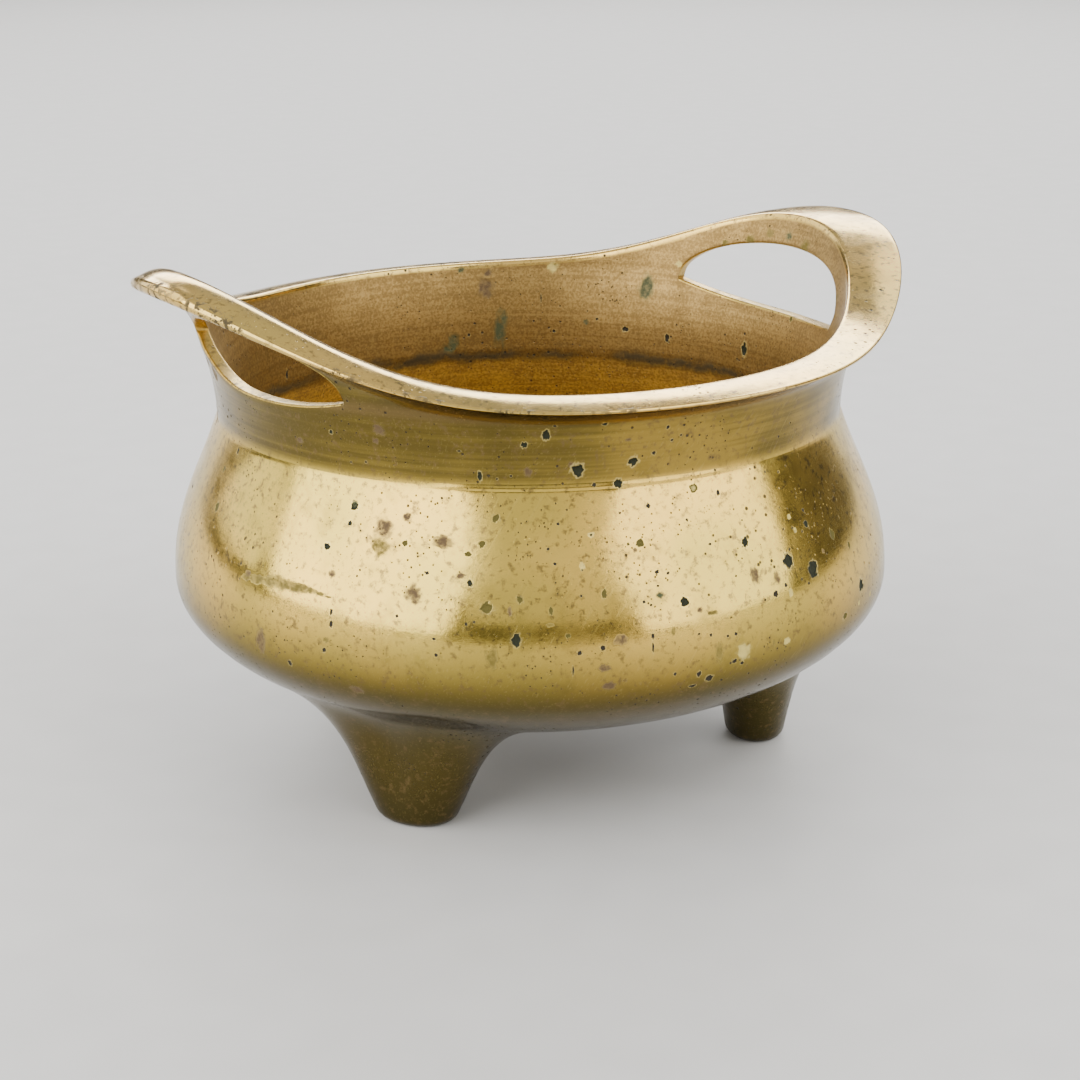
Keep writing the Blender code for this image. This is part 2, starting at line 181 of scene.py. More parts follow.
OLIVE_PITS = (
    (405, 543, 0.6, 1.0), (482, 544, 0.65, 1.0), (496, 518, 0.75, 1.0), (520, 600, 0.65, 1.1),
    (487, 608, 1.15, 0.9), (217, 507, 0.75, 1.6), (224, 469, 0.5, 1.4), (832, 534, 0.85, 1.5),
    (849, 545, 0.45, 2.0), (551, 611, 0.4, 2.2), (604, 594, 0.45, 2.5), (640, 543, 0.75, 1.0),
    (628, 544, 0.3, 1.0), (468, 554, 0.6, 0.8), (568, 636, 0.5, 0.8), (693, 488, 0.8, 1.1),
    (845, 616, 0.9, 0.8), (791, 319, 0.6, 1.0),
)
BROWN_STAINS = (
    (528, 472, 0.8, 1.1), (571, 465, 0.5, 1.2), (379, 430, 1.2, 0.9), (376, 441, 0.7, 0.8),
    (384, 528, 1.8, 1.0), (407, 517, 0.8, 1.0), (444, 542, 1.9, 0.6), (413, 594, 1.5, 1.1),
    (332, 574, 0.75, 1.0), (261, 641, 1.4, 1.8), (461, 576, 0.9, 0.5), (510, 611, 0.45, 2.5),
    (628, 440, 0.6, 0.6), (635, 550, 0.4, 1.0), (823, 551, 0.5, 1.0), (777, 578, 0.8, 1.6),
    (755, 575, 1.0, 1.8), (620, 640, 1.3, 0.9), (609, 686, 1.4, 0.6), (605, 668, 1.2, 0.6),
    (486, 288, 1.9, 1.2), (488, 273, 0.9, 0.9), (248, 573, 0.8, 0.8), (357, 690, 1.4, 0.6),
    (300, 440, 0.8, 0.8), (700, 610, 0.5, 1.0), (215, 374, 1.6, 1.2), (208, 362, 1.0, 1.2),
)
GREY_STAINS = (
    (646, 288, 1.7, 1.9), (500, 330, 1.5, 2.6), (504, 316, 0.9, 1.6), (454, 341, 1.2, 1.5),
    (450, 348, 1.5, 0.8), (586, 322, 0.6, 1.0), (461, 270, 0.8, 0.8), (789, 236, 0.9, 1.2),
    (660, 595, 0.6, 1.0), (355, 503, 0.6, 1.0),
)
OLIVE_STAINS = (
    (381, 546, 1.8, 1.0), (492, 659, 1.1, 1.8), (326, 640, 0.6, 1.0), (713, 613, 1.0, 0.45),
    (550, 625, 0.7, 0.6), (720, 652, 0.8, 2.4), (674, 631, 0.5, 1.6), (774, 643, 0.3, 2.0),
    (770, 233, 1.1, 0.8), (805, 246, 1.4, 1.0), (750, 240, 1.2, 0.8), (836, 300, 0.9, 1.6),
    (725, 243, 0.9, 0.8), (246, 577, 1.6, 0.4), (256, 579, 1.9, 0.5), (267, 581, 2.0, 0.5),
    (278, 583, 2.3, 0.6), (290, 586, 2.2, 0.5), (302, 588, 1.9, 0.5), (312, 591, 1.4, 0.4),
    (320, 594, 1.1, 0.3), (328, 597, 0.9, 0.2),
)
# Pale spots, partly painted highlights: the one at 679, 264 is a painted glint
PALE_MARKS_AND_HIGHLIGHTS = (
    (744, 651, 1.5, 1.0), (591, 535, 0.65, 0.8), (582, 566, 0.55, 1.3), (553, 267, 1.2, 0.9),
    (693, 488, 0.45, 1.2), (791, 593, 0.6, 1.3), (870, 594, 0.45, 1.2), (859, 603, 0.45, 1.2),
    (795, 530, 0.4, 1.4), (789, 517, 0.55, 1.0), (679, 264, 0.7, 0.9), (787, 641, 0.8, 0.9),
)
# Each kind of mark with its tone, from 0 to 1 through MARK_COLOURS, and its depth
MARK_KINDS = (
    (DEEP_PITS, 0.0, 1.0),
    (SMALL_PITS, 0.17, 0.8),
    (OLIVE_PITS, 0.34, 0.55),
    (BROWN_STAINS, 0.5, 0.1),
    (GREY_STAINS, 0.67, 0.1),
    (OLIVE_STAINS, 0.84, 0.1),
    (PALE_MARKS_AND_HIGHLIGHTS, 1.0, 0.05),
)
MARK_SLOTS = 2
MARK_CANDIDATES = 8
MARK_RAGGEDNESS = 1.3
PIT_STEEPNESS = 0.45
UNSEEN_MARKS = 150
UNSEEN_ANGLES = (-45.0, 160.0)
UNSEEN_HEIGHTS = (0.022, 0.086)
UNSEEN_SEED = 11

# Colours of the brass, of what has settled on it, and of the painted shade and dark reflections on it
BRASS_GOLD = (0.80, 0.52, 0.10)
BRASS_OLIVE = (0.60, 0.43, 0.08)
# Dark dull brass: the tarnish in the mottle, and also the painted dark reflection on the neck
BRASS_TARNISH_AND_DARK_REFLECTION = (0.110, 0.080, 0.020)
BRASS_PINK = (0.66, 0.45, 0.20)
# Umber of the freckles, and also the painted shade in the cove under the lip
BRASS_UMBER = (0.17, 0.115, 0.045)
INSIDE_TAN = (0.38, 0.245, 0.075)
INSIDE_BROWN = (0.22, 0.135, 0.040)
# Gold of the lower bowl, partly painted light that brightens its shaded inside
INSIDE_GOLD = (0.70, 0.49, 0.13)
# Dark olive of the feet, and also the painted dark reflection low on the belly
FOOT_OLIVE_AND_DARK_REFLECTION = (0.060, 0.049, 0.017)
HALO_GOLD = (0.85, 0.68, 0.24)
DARK_RING_AND_GRIT_BLACK = (0.035, 0.027, 0.012)
MARK_COLOURS = (
    (0.016, 0.019, 0.005),
    (0.026, 0.020, 0.009),
    (0.105, 0.085, 0.012),
    (0.120, 0.075, 0.032),
    (0.070, 0.080, 0.032),
    (0.170, 0.125, 0.018),
    # pale spots, partly painted highlights
    (0.620, 0.500, 0.140),
)

# Heights in metres where the finish changes, and over how much: the dark ring inside, the painted shade
# in the cove under the lip and the painted dark reflection low on the belly
DARK_RING_HEIGHT = 0.0704
DARK_RING_WIDTH = 0.0023
COVE_HEIGHT = 0.0888
COVE_WIDTH = 0.0024
DARK_REFLECTION_TOP = 0.052
DARK_REFLECTION_FULL = 0.034

# Grain of the finish. Scales are repeats in a metre, the slant is in radians, a pinhole's largest
# size is a share of its repeat, and heights and depths are in metres.
DRIFT_SCALE = 30.0
CLOUD_SCALE = 170.0
FRECKLE_SCALE = 700.0
GRAIN_SCALE = 1800.0
TURNED_SCALES = (18.0, 18.0, 1300.0)
SCRATCH_SCALES = (35.0, 3200.0, 3200.0)
SCRATCH_SLANT = (0.5, 0.9, 0.4)
PINHOLES = ((420.0, 0.17), (900.0, 0.20))
DARK_RING_WANDER = 0.006
INSIDE_LINES = 0.00003
OUTSIDE_LINES = 0.000006
GRAIN_HEIGHT = 0.000008
PINHOLE_DEPTH = 0.00010

# Studio. Each softbox has its heading from the camera's and its elevation in degrees, its
# distance, width and height in metres, and its power in watts.
FLOOR_REACH = 12.0
FLOOR_SIDES = 96
FLOOR_SHADES = ((0.60, 0.59, 0.57), (0.64, 0.63, 0.61))
FLOOR_GRAIN = 90.0
FLOOR_ROUGHNESS = 0.6
ROOM_RISE = 0.35
ROOM_LOW = 0.14
ROOM_OVERHEAD = 0.95
SOFTBOXES = {
    "left_softbox": (-56.0, 25.0, 1.5, 1.9, 1.3, 36.0),
    "left_side_softbox": (-116.0, 28.0, 1.5, 1.3, 1.3, 11.0),
    "right_softbox": (60.0, 29.0, 1.5, 1.6, 1.6, 27.0),
    "right_side_softbox": (132.0, 34.0, 1.7, 1.2, 1.0, 9.0),
    "front_softbox": (4.0, 27.0, 1.5, 1.2, 1.0, 3.2),
    "back_softbox": (180.0, 26.0, 2.4, 2.0, 0.8, 42.0),
}

# Fineness of the mesh
COLUMN_STEP = 1.25
GAP_COLUMNS = 44
UNDERSIDE_ROWS = 12
FOOT_ROWS = 20
FOOT_OUTER_RINGS = 5
FOOT_BLEND_RINGS = 12
FOOT_SIDE_RINGS = 6
SOLE_RINGS = 5
BELLY_TURN_ROWS = 8
BELLY_ROWS = 34
RIDGE_ROWS = 6
NECK_ROWS = 10
COVE_ROWS = 14
EDGE_ROWS = 8
LIP_ROWS = 12
CREASE_ROWS = 5
JAMB_ROWS = 4
INNER_LIP_ROWS = 8
INNER_BELLY_ROWS = 20
INNER_FLOOR_ROWS = 22
ROOT_TRIES = 8
ANGLE_TOLERANCE = 0.01
SHARP_ANGLE = 60.0

SHOULDER_RADIUS = BELLY_RADIUS - SHOULDER_INSET
SHOULDER_HEIGHT = BELLY_HEIGHT + SHOULDER_RISE
INNER_SHOULDER_HEIGHT = SHOULDER_HEIGHT - INNER_SHOULDER_DROP
LIP_HEIGHT = SHOULDER_HEIGHT + NECK_HEIGHT


def turn_between(angle, middle):
    """Signed angle in degrees from middle to angle, between -180 and 180."""
    return (angle - middle + 180.0) % 360.0 - 180.0


def swell(angle, middle):
    """How much of a handle there is at this angle: 1 on its middle line, 0 away from it."""
    share = abs(turn_between(angle, middle)) / HANDLE_HALF_ANGLE
    return math.exp(-share ** SWELL_POWER)


def bezier(points, share):
    """Point at a share of the way along a flat curve drawn by its control points."""
    last = len(points) - 1
    weights = [math.comb(last, number) * (1.0 - share) ** (last - number) * share ** number
               for number in range(last + 1)]
    return tuple(sum(weight * point[axis] for weight, point in zip(weights, points))
                 for axis in (0, 1))


def belly_curve(inset, shoulder_height):
    """Curve from the belly's widest line up to the shoulder, moved inward by inset."""
    belly = (BELLY_RADIUS - inset, BELLY_HEIGHT)
    shoulder = (SHOULDER_RADIUS - inset, shoulder_height)
    upright = (belly[0], belly[1] + BELLY_FULLNESS)
    sloped = (shoulder[0] + SHOULDER_RUN * SHOULDER_SLOPE, shoulder[1] - SHOULDER_RUN)
    return belly, upright, sloped, shoulder


def shoulder_ridge(angle, height):
    """The fine raised line between belly and neck, worn down except for one stretch in front."""
    away = (height - SHOULDER_HEIGHT) / SHOULDER_RIDGE_WIDTH
    kept = math.exp(-(turn_between(angle, RIDGE_FRONT) / RIDGE_SPAN) ** 4)
    return SHOULDER_RIDGE * (1.0 - RIDGE_WEAR * (1.0 - kept)) * math.exp(-away * away)


def underside_height(radius):
    """Height of the outer underside, a flattened half ellipse, at a distance from the axis."""
    share = min(radius / BELLY_RADIUS, 1.0)
    return BELLY_HEIGHT - UNDERSIDE_DEPTH * math.sqrt(1.0 - share * share)


def inner_floor_height(radius):
    """Height of the bowl's inner floor, the same form inside the wall."""
    share = min(radius / (BELLY_RADIUS - WALL), 1.0)
    return BELLY_HEIGHT - (UNDERSIDE_DEPTH - FLOOR) * math.sqrt(1.0 - share * share)


def neck_radius(height):
    """Outer radius of the neck, which spreads ever more up to the lip and evenly above it."""
    share = max(0.0, (height - SHOULDER_HEIGHT) / NECK_HEIGHT)
    if share < 1.0:
        return SHOULDER_RADIUS + NECK_SPREAD * share * share
    return SHOULDER_RADIUS + NECK_SPREAD * share


def lip_section(angle):
    """Edge, underside corner and inner crease of the lip at this angle, as (radius, height)."""
    right = swell(angle, RIGHT_HANDLE)
    left = swell(angle, LEFT_HANDLE)
    both = right + left
    edge = LIP_EDGE + (HANDLE_EDGE - LIP_EDGE) * both ** 2 + LEFT_EXTRA_EDGE * left ** 2
    top_height = LIP_HEIGHT + HANDLE_RISE * both + LEFT_EXTRA_RISE * left
    edge_radius = neck_radius(LIP_HEIGHT) + LIP_OVERHANG + HANDLE_REACH * both
    edge_radius -= LEFT_SHORTER_REACH * left
    inner = neck_radius(LIP_HEIGHT) - WALL - LIP_LEDGE
    crease_radius = inner + (HANDLE_REACH - HANDLE_WIDENING) * both
    crease_height = LIP_HEIGHT + LIP_SLOPE + (HANDLE_RISE - HANDLE_TILT) * both
    top = (edge_radius, top_height)
    below = (edge_radius, top_height - edge)
    crease = (crease_radius, crease_height)
    return top, below, crease


def nose_inset(angle):
    """How far inside the lip's reach the round of its edge starts, above and below."""
    top, below = lip_section(angle)[:2]
    return (0.5 - EDGE_BULGE) * (top[1] - below[1])


def lip_nose(angle, share):
    """Point on the lip's rounded edge, from its underside at share 0 to its top at share 1."""
    top, below = lip_section(angle)[:2]
    half = (top[1] - below[1]) / 2
    turn = math.pi * (share - 0.5)
    radius = top[0] - nose_inset(angle) + half * math.cos(turn)
    return radius, below[1] + half * (1.0 + math.sin(turn))


def lip_top(angle, share):
    """Point on the lip's top, from its outer edge at share 0 to the inner crease at share 1."""
    top, _, crease = lip_section(angle)
    left = swell(angle, LEFT_HANDLE)
    crown = (LIP_CROWN + LEFT_EXTRA_CROWN * left) * math.sin(math.pi * share)
    start = top[0] - nose_inset(angle)
    return start + (crease[0] - start) * share, top[1] + (crease[1] - top[1]) * share + crown


def lip_crease(angle, share):
    """Point on the worn crease, from the lip's top at share 0 to the inner wall at share 1."""
    crease = lip_section(angle)[2]
    height = crease[1] - CREASE_ROUNDING
    ends = lip_top(angle, 1.0 - crease_share(angle)), crease, (inner_radius(angle, height), height)
    return bezier(ends, share)


def crease_share(angle):
    """Share of the lip's top that the rounding of the crease takes."""
    top, _, crease = lip_section(angle)
    return CREASE_ROUNDING / math.hypot(top[0] - crease[0], top[1] - crease[1])


def outer_radius(angle, height):
    """Outer radius of the neck and of the cove below the lip."""
    below = lip_section(angle)[1]
    share = (height - SHOULDER_HEIGHT) / (below[1] - SHOULDER_HEIGHT)
    spread = below[0] - nose_inset(angle) - neck_radius(below[1])
    return neck_radius(height) + spread * share ** COVE_SHARPNESS + shoulder_ridge(angle, height)


def inner_radius(angle, height):
    """Inner radius of the neck, up to the crease where the lip begins."""
    crease = lip_section(angle)[2]
    share = max(0.0, (height - SHOULDER_HEIGHT) / (crease[1] - SHOULDER_HEIGHT))
    spread = crease[0] - (neck_radius(crease[1]) - WALL)
    return neck_radius(height) - WALL + spread * share * share


def gap_ends():
    """Each finger gap as its start and end angles and the heights of its two corners."""
    front = LIP_HEIGHT - FRONT_END_DROP
    back = LIP_HEIGHT - BACK_END_DROP
    rounded = LIP_HEIGHT + ROUND_END_RISE
    pointed = LIP_HEIGHT - POINTED_END_DROP
    return (*RIGHT_GAP, front, back), (*LEFT_GAP, rounded, pointed)


def gap_at(angle):
    """Share of the way across a finger gap, -1 to 1, and the nearer corner's height, or None."""
    for start, end, start_height, end_height in gap_ends():
        share = turn_between(angle, (start + end) / 2) / ((end - start) / 2)
        if abs(share) < 1.0 - 1e-6:
            return share, start_height if share < 0 else end_height
    return None


def seam_heights(angle):
    """Heights of a finger gap's sill and arch. They are equal where there is no gap."""
    sill = LIP_HEIGHT - SILL_DROP
    gap = gap_at(angle)
    if gap:
        share, corner = gap
        top = LIP_HEIGHT + LIP_SLOPE + HANDLE_RISE - HANDLE_TILT - BAR_DEPTH
        arch = corner + (top - corner) * math.sqrt(1.0 - share * share)
        return sill + (corner - sill) * abs(share) ** SILL_POWER, arch
    height = sill
    for start, end, start_height, end_height in gap_ends():
        for corner_angle, corner in ((start, start_height), (end, end_height)):
            share = abs(turn_between(angle, corner_angle)) / HANDLE_HALF_ANGLE
            height += (corner - sill) * math.exp(-END_FADE * share * share)
    return height, height


def gap_rounding(angle):
    """Radius of the worn edges of a finger gap, which runs out at the gap's ends."""
    sill, arch = seam_heights(angle)
    return min(GAP_ROUNDING, (arch - sill) / 3)


def gap_edges(angle):
    """Heights where a finger gap's worn edges start, below its sill and above its arch."""
    sill, arch = seam_heights(angle)
    rounding = gap_rounding(angle)
    return sill - rounding, arch + rounding


def spread_evenly(start, end, count):
    """Values from start to end, end left out, in count even steps."""
    return [start + (end - start) * step / count for step in range(count)]


def column_angles():
    """Angles of the mesh's columns: even round the bowl, closer at the ends of each gap."""
    angles = []
    right_start, right_end = RIGHT_GAP
    left_start, left_end = LEFT_GAP
    for start, end, following in (
        (right_start, right_end, left_start),
        (left_start, left_end, right_start + 360.0),
    ):
        middle = (start + end) / 2
        half = (end - start) / 2
        for column in range(GAP_COLUMNS):
            angles.append(middle - half * math.cos(math.pi * column / GAP_COLUMNS))
        angles += spread_evenly(end, following, round((following - end) / COLUMN_STEP))
    return angles


def around(radius, angle, height):
    """Point at a radius, an angle in degrees and a height."""
    turn = math.radians(angle)
    return radius * math.cos(turn), radius * math.sin(turn), height


class Casting:
    """The burner's mesh, built as rows of points that run round the axis."""

    def __init__(self):
        self.mesh = bmesh.new()
        self.angles = column_angles()
        self.count = len(self.angles)
        self.zones = {name: self.mesh.verts.layers.float.new(name)
                      for name in ZONES}

    def point(self, place, **zones):
        """A point, with how far it belongs to each named zone of the finish."""
        vertex = self.mesh.verts.new(place)
        for name, share in zones.items():
            vertex[self.zones[name]] = share
        return vertex

    def row(self, place, **zones):
        """A ring of points; place(angle) gives each one's radius and height."""
        ring = []
        for angle in self.angles:
            radius, height = place(angle)
            ring.append(self.point(around(radius, angle, height), **zones))
        return ring

    def face(self, *corners):
        """A face through the corners, each used once."""
        unlike = []
        for corner in corners:
            if corner not in unlike:
                unlike.append(corner)
        if len(unlike) > 2:
            self.mesh.faces.new(unlike)

    def strip(self, first, second, skip=lambda column: False):
        """Faces between two rows, except at the columns to skip."""
        for column in range(self.count):
            if skip(column):
                continue
            after = (column + 1) % self.count
            self.face(first[column], first[after], second[after], second[column])

    def rows(self, previous, places, **zones):
        """Adds a ring for each place in turn, joined to the one before, and returns the last."""
        for place in places:
            ring = self.row(place, **zones)
            self.strip(previous, ring)
            previous = ring
        return previous

    def close_middle(self, ring, height, upward, **zones):
        """A fan of faces from a ring to a point on the axis."""
        middle = self.point((0.0, 0.0, height), **zones)
        for column in range(self.count):
            after = (column + 1) % self.count
            if upward:
                self.face(middle, ring[column], ring[after])
            else:
                self.face(middle, ring[after], ring[column])


def foot_columns(casting, foot):
    """Numbers of the columns that cross a foot's patch, in order."""
    inside = []
    for column, angle in enumerate(casting.angles):
        offset = turn_between(angle, foot)
        if abs(offset) < FOOT_HALF_ANGLE + ANGLE_TOLERANCE:
            inside.append((offset, column))
    return [column for offset, column in sorted(inside)]


def foot_outline_reach(direction):
    """Distance from a foot's middle to its oval edge, in a direction measured from outward."""
    along = math.cos(direction) / FOOT_RADIAL
    across = math.sin(direction) / FOOT_TANGENTIAL
    return 1.0 / math.hypot(along, across)


def foot_profile(reach, heading, outward):
    """A foot's side in one direction, as (distance from its middle, height) points."""
    along = heading[0] * outward[0] + heading[1] * outward[1]
    across = heading[1] * outward[0] - heading[0] * outward[1]
    flare = FOOT_FLARE_SIDE * across ** 2
    flare += (FOOT_FLARE_OUT if along > 0 else FOOT_FLARE_IN) * along ** 2
    sole = foot_outline_reach(math.atan2(across, along))

    def underside_at(distance):
        radius = math.hypot(FOOT_RING_RADIUS + along * distance, across * distance)
        return underside_height(radius)

    root_height = underside_at(0.0)
    for _ in range(ROOT_TRIES):
        root = sole + flare * root_height
        root_height = underside_at(root)
    start = min(root + FOOT_BLEND, root + (reach - root) * FOOT_BLEND_LIMIT)
    end_height = FOOT_BLEND_END * root_height
    curve = ((start, underside_at(start)), (root, root_height),
             (sole + flare * end_height, end_height))
    points = []
    for number in range(1, FOOT_OUTER_RINGS):
        distance = reach + (start - reach) * number / FOOT_OUTER_RINGS
        points.append((distance, underside_at(distance)))
    for number in range(FOOT_BLEND_RINGS + 1):
        points.append(bezier(curve, number / FOOT_BLEND_RINGS))
    for number in range(1, FOOT_SIDE_RINGS):
        height = end_height + (SOLE_ROUNDING - end_height) * number / FOOT_SIDE_RINGS
        points.append((sole + flare * height, height))
    for number in range(SOLE_RINGS + 1):
        turn = math.pi / 2 * number / SOLE_RINGS
        height = SOLE_ROUNDING * (1.0 - math.sin(turn))
        rounded = sole + flare * height - SOLE_ROUNDING * (1.0 - math.cos(turn))
        points.append((rounded, height))
    points.append((0.5 * (sole - SOLE_ROUNDING), 0.0))
    return points


def build_foot(casting, foot, rows):
    """Rings that run from the edge of a foot's patch in the underside down to its flat sole."""
    columns = foot_columns(casting, foot)
    inner = rows[0]
    outer = rows[-1]
    border = [outer[column] for column in columns]
    border += [row[columns[-1]] for row in reversed(rows[1:-1])]
    border += [inner[column] for column in reversed(columns)]
    border += [row[columns[0]] for row in rows[1:-1]]
    outward = around(1.0, foot, 0.0)[:2]
    middle = (FOOT_RING_RADIUS * outward[0], FOOT_RING_RADIUS * outward[1])
    spokes = []
    for vertex in border:
        away = (vertex.co.x - middle[0], vertex.co.y - middle[1])
        reach = math.hypot(*away)
        heading = (away[0] / reach, away[1] / reach)
        spokes.append([(middle[0] + heading[0] * distance, middle[1] + heading[1] * distance, height)
                       for distance, height in foot_profile(reach, heading, outward)])
    previous = border
    for places in zip(*spokes):
        ring = []
        for place in places:
            share = 1.0 - place[2] / underside_height(FOOT_RING_RADIUS)
            ring.append(casting.point(place, foot=max(0.0, min(1.0, share))))
        for index, vertex in enumerate(ring):
            after = (index + 1) % len(ring)
            casting.face(previous[after], previous[index], vertex, ring[after])
        previous = ring
    middle_point = casting.point((*middle, 0.0), foot=1.0)
    for index, vertex in enumerate(previous):
        casting.face(middle_point, previous[(index + 1) % len(previous)], vertex)


def build_underside(casting):
    """The outer underside, from the axis to the belly's widest line, with its three feet."""
    nearest = FOOT_RING_RADIUS - FOOT_PATCH
    furthest = min(FOOT_RING_RADIUS + FOOT_PATCH, PATCH_LIMIT * BELLY_RADIUS)
    radii = spread_evenly(nearest / UNDERSIDE_ROWS, nearest, UNDERSIDE_ROWS - 1)
    patch_start = len(radii)
    radii += spread_evenly(nearest, furthest, FOOT_ROWS) + [furthest]
    patch_end = len(radii) - 1
    rows = [casting.row(lambda angle, radius=radius: (radius, underside_height(radius)))
            for radius in radii]
    last_turn = math.acos(furthest / BELLY_RADIUS)
    for number in range(1, BELLY_TURN_ROWS + 1):
        radius = BELLY_RADIUS * math.cos(last_turn * (1.0 - number / BELLY_TURN_ROWS))
        rows.append(casting.row(lambda angle: (radius, underside_height(radius))))
    casting.close_middle(rows[0], underside_height(0.0), upward=False)
    patches = [foot_columns(casting, foot) for foot in FOOT_ANGLES]
    covered = {column for columns in patches for column in columns[:-1]}
    for number in range(len(rows) - 1):
        in_patch = patch_start <= number < patch_end
        casting.strip(rows[number], rows[number + 1],
                      lambda column: in_patch and column in covered)
    for foot in FOOT_ANGLES:
        build_foot(casting, foot, rows[patch_start:patch_end + 1])
    return rows[-1]


def build_outer_wall(casting, belly):
    """The belly, shoulder and neck outside, up to the sill of the finger gaps."""
    outside = belly_curve(0.0, SHOULDER_HEIGHT)

    def belly_place(angle, share):
        radius, height = bezier(outside, share)
        return radius + shoulder_ridge(angle, height), height

    shares = [RIDGE_START * number / BELLY_ROWS for number in range(1, BELLY_ROWS + 1)]
    shares += [RIDGE_START + (1.0 - RIDGE_START) * number / RIDGE_ROWS
               for number in range(1, RIDGE_ROWS + 1)]
    places = [lambda angle, share=share: belly_place(angle, share) for share in shares]
    previous = casting.rows(belly, places)

    def ridge_place(angle, share):
        height = SHOULDER_HEIGHT + RIDGE_REACH * share
        return outer_radius(angle, height), height

    def neck_place(angle, share):
        start = SHOULDER_HEIGHT + RIDGE_REACH
        height = start + (gap_edges(angle)[0] - start) * share
        return outer_radius(angle, height), height

    previous = casting.rows(previous, in_steps(ridge_place, RIDGE_ROWS))
    return casting.rows(previous, in_steps(neck_place, NECK_ROWS))


def in_steps(place, count):
    """One place for each step from 1 to count, given its share of the way."""
    return [lambda angle, share=number / count: place(angle, share) for number in range(1, count + 1)]


def arch_row(casting, sill, radius_at, **zones):
    """The arch's points inside the gaps, and the sill's own points everywhere else."""
    ring = []
    for column, angle in enumerate(casting.angles):
        if gap_at(angle) is None:
            ring.append(sill[column])
        else:
            height = gap_edges(angle)[1]
            ring.append(casting.point(around(radius_at(angle, height), angle, height), **zones))
    return ring


def build_lip(casting, arch):
    """From the arch out through the cove, round the lip's edge and over its top to the crease."""
    def cove_place(angle, share):
        start = gap_edges(angle)[1]
        end = lip_section(angle)[1][1]
        height = start + (end - start) * (1.0 - (1.0 - share) ** COVE_SPACING)
        return outer_radius(angle, height), height

    def top_place(angle, share):
        return lip_top(angle, share * (1.0 - crease_share(angle)))

    previous = casting.rows(arch, in_steps(cove_place, COVE_ROWS))
    previous = casting.rows(previous, in_steps(lip_nose, EDGE_ROWS), lip=1.0, rim=1.0)
    previous = casting.rows(previous, in_steps(top_place, LIP_ROWS), lip=1.0)
    return casting.rows(previous, in_steps(lip_crease, CREASE_ROWS), lip=1.0, rim=0.5)


def build_inner_wall(casting, crease):
    """From the crease down inside the neck and belly to the middle of the inner floor."""
    def lip_place(angle, share):
        start = lip_section(angle)[2][1] - CREASE_ROUNDING
        height = start + (gap_edges(angle)[1] - start) * share
        return inner_radius(angle, height), height

    def sill_place(angle):
        height = gap_edges(angle)[0]
        return inner_radius(angle, height), height

    def neck_place(angle, share):
        start = gap_edges(angle)[0]
        height = start + (INNER_SHOULDER_HEIGHT - start) * share
        return inner_radius(angle, height), height

    def floor_place(angle, share):
        radius = (BELLY_RADIUS - WALL) * math.cos(math.pi / 2 * share)
        return radius, inner_floor_height(radius)

    previous = casting.rows(crease, in_steps(lip_place, INNER_LIP_ROWS)[:-1], inside=1.0)
    sill = casting.row(sill_place, inside=1.0)
    arch = arch_row(casting, sill, inner_radius, inside=1.0)
    casting.strip(previous, arch)
    previous = casting.rows(sill, in_steps(neck_place, NECK_ROWS), inside=1.0)
    inside = belly_curve(WALL, INNER_SHOULDER_HEIGHT)
    belly = in_steps(lambda angle, share: bezier(inside, 1.0 - share), INNER_BELLY_ROWS)
    previous = casting.rows(previous, belly, inside=1.0)
    previous = casting.rows(previous, in_steps(floor_place, INNER_FLOOR_ROWS)[:-1], inside=1.0)
    casting.close_middle(previous, inner_floor_height(0.0), upward=True, inside=1.0)
    return sill, arch


def jamb_path(angle, seam, upward):
    """Points across the wall's thickness in a gap, from the outer seam to the inner one."""
    outer = outer_radius(angle, seam)
    inner = inner_radius(angle, seam)
    rise = gap_rounding(angle) * (1 if upward else -1)
    rounds = [math.pi / 2 * number / JAMB_ROWS for number in range(1, JAMB_ROWS + 1)]
    path = [(outer - GAP_ROUNDING * (1.0 - math.cos(turn)), seam + rise * math.sin(turn))
            for turn in rounds]
    path += [((outer + inner) / 2, seam + rise)]
    path += [(inner + GAP_ROUNDING * (1.0 - math.cos(turn)), seam + rise * math.sin(turn))
             for turn in reversed(rounds)]
    return path


def pierce_gaps(casting, outer_seams, inner_seams):
    """The sill and the arch of each finger gap, across the wall's thickness, with worn edges."""
    def solid(column):
        after = (column + 1) % casting.count
        return gap_at(casting.angles[column]) is None and gap_at(casting.angles[after]) is None

    used = {column for column in range(casting.count) if not solid(column)}
    used |= {(column + 1) % casting.count for column in used}
    steps = 2 * JAMB_ROWS + 1
    rows = {True: [{} for _ in range(steps)], False: [{} for _ in range(steps)]}
    for column in used:
        angle = casting.angles[column]
        for upward, seam in zip((True, False), gap_edges(angle)):
            if not upward and gap_at(angle) is None:
                for step in range(steps):
                    rows[False][step][column] = rows[True][step][column]
                continue
            for step, (radius, height) in enumerate(jamb_path(angle, seam, upward)):
                rows[upward][step][column] = casting.point(around(radius, angle, height),
                                                           inside=0.5, rim=0.6)
    for upward in (True, False):
        outer = outer_seams[0 if upward else 1]
        inner = inner_seams[0 if upward else 1]
        ordered = [outer, *rows[upward], inner]
        if not upward:
            ordered.reverse()
        for first, second in zip(ordered, ordered[1:]):
            casting.strip(first, second, solid)


def build_casting():
    """The whole burner as one closed mesh."""
    casting = Casting()
    belly = build_underside(casting)
    outer_sill = build_outer_wall(casting, belly)
    outer_arch = arch_row(casting, outer_sill, outer_radius)
    crease = build_lip(casting, outer_arch)
    inner_seams = build_inner_wall(casting, crease)
    pierce_gaps(casting, (outer_sill, outer_arch), inner_seams)
    unused = [vertex for vertex in casting.mesh.verts if not vertex.link_faces]
    bmesh.ops.delete(casting.mesh, geom=unused, context="VERTS")
    return casting


